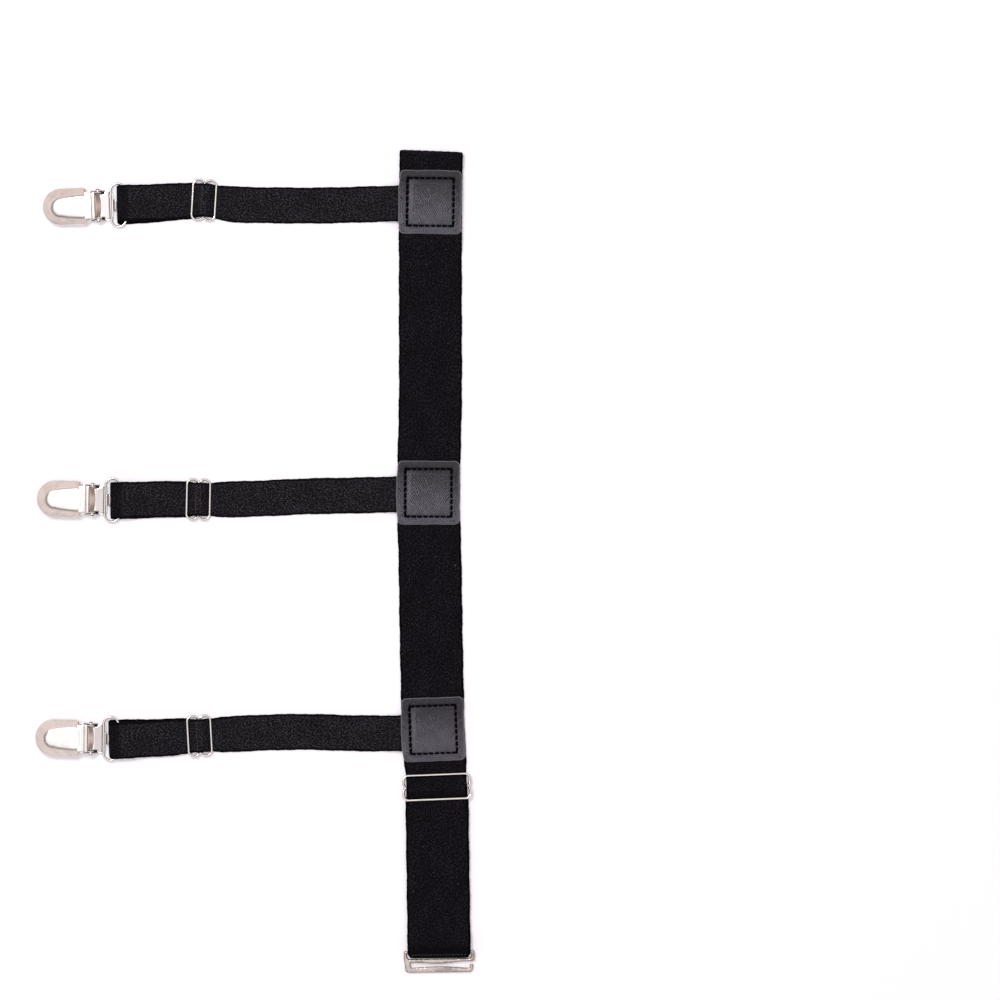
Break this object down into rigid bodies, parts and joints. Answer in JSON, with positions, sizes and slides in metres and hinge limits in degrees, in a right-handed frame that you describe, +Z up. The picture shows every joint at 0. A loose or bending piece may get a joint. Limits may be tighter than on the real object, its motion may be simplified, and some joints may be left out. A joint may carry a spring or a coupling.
{
  "type": "shirt stay",
  "caption": "Elastic thigh band lying flat, with a length slider and hook, and elastic straps sewn on under leather patches, each with a slider, a ring and a metal clip.",
  "frame": {"origin": "on the resting surface, under the middle of the whole stay's box", "axes": "+Y along the thigh band toward its folded upper end, +X across it away from the straps, +Z up from the surface"},
  "size_m": [0.2438, 0.4569, 0.0082],
  "materials": {
    "band_elastic": "matte black woven elastic",
    "strap_elastic": "black woven elastic with a slightly shiny face",
    "patch_leather": "dark grey grained leather with black stitching",
    "nickel_wire": "polished nickel",
    "clip_nickel": "polished nickel, warm white",
    "grip_plastic": "black moulded plastic"
  },
  "bodies": {
    "root": {"thigh_band": "band_elastic", "band_slider": "nickel_wire", "band_hook": "nickel_wire", "top_patch": "patch_leather", "top_strap": "strap_elastic", "top_slider": "nickel_wire", "top_ring": "nickel_wire", "top_clip_frame": "clip_nickel", "top_clip_jaw": "clip_nickel", "top_clip_pad": "grip_plastic", "top_clip_rivet": "clip_nickel", "middle_patch": "patch_leather", "middle_strap": "strap_elastic", "middle_slider": "nickel_wire", "middle_ring": "nickel_wire", "middle_clip_frame": "clip_nickel", "middle_clip_jaw": "clip_nickel", "middle_clip_pad": "grip_plastic", "middle_clip_rivet": "clip_nickel", "bottom_patch": "patch_leather", "bottom_strap": "strap_elastic", "bottom_slider": "nickel_wire", "bottom_ring": "nickel_wire", "bottom_clip_frame": "clip_nickel", "bottom_clip_jaw": "clip_nickel", "bottom_clip_pad": "grip_plastic", "bottom_clip_rivet": "clip_nickel"},
    "lever_top": {"top_clip_lever": "clip_nickel"},
    "lever_middle": {"middle_clip_lever": "clip_nickel"},
    "lever_bottom": {"bottom_clip_lever": "clip_nickel"}
  },
  "joints": [
    {"name": "top_lever_hinge", "type": "hinge", "parent": "root", "child": "lever_top", "pos_m": [-0.0867, 0.19721, 0.0046], "axis": [-0.0349, 0.9994, 0], "range_deg": [0, 100]},
    {"name": "middle_lever_hinge", "type": "hinge", "parent": "root", "child": "lever_middle", "pos_m": [-0.08996, 0.03424, 0.0046], "axis": [0.0227, 0.9997, 0], "range_deg": [0, 100]},
    {"name": "bottom_lever_hinge", "type": "hinge", "parent": "root", "child": "lever_bottom", "pos_m": [-0.09081, -0.09812, 0.0046], "axis": [0.0122, 0.9999, 0], "range_deg": [0, 100]}
  ]
}
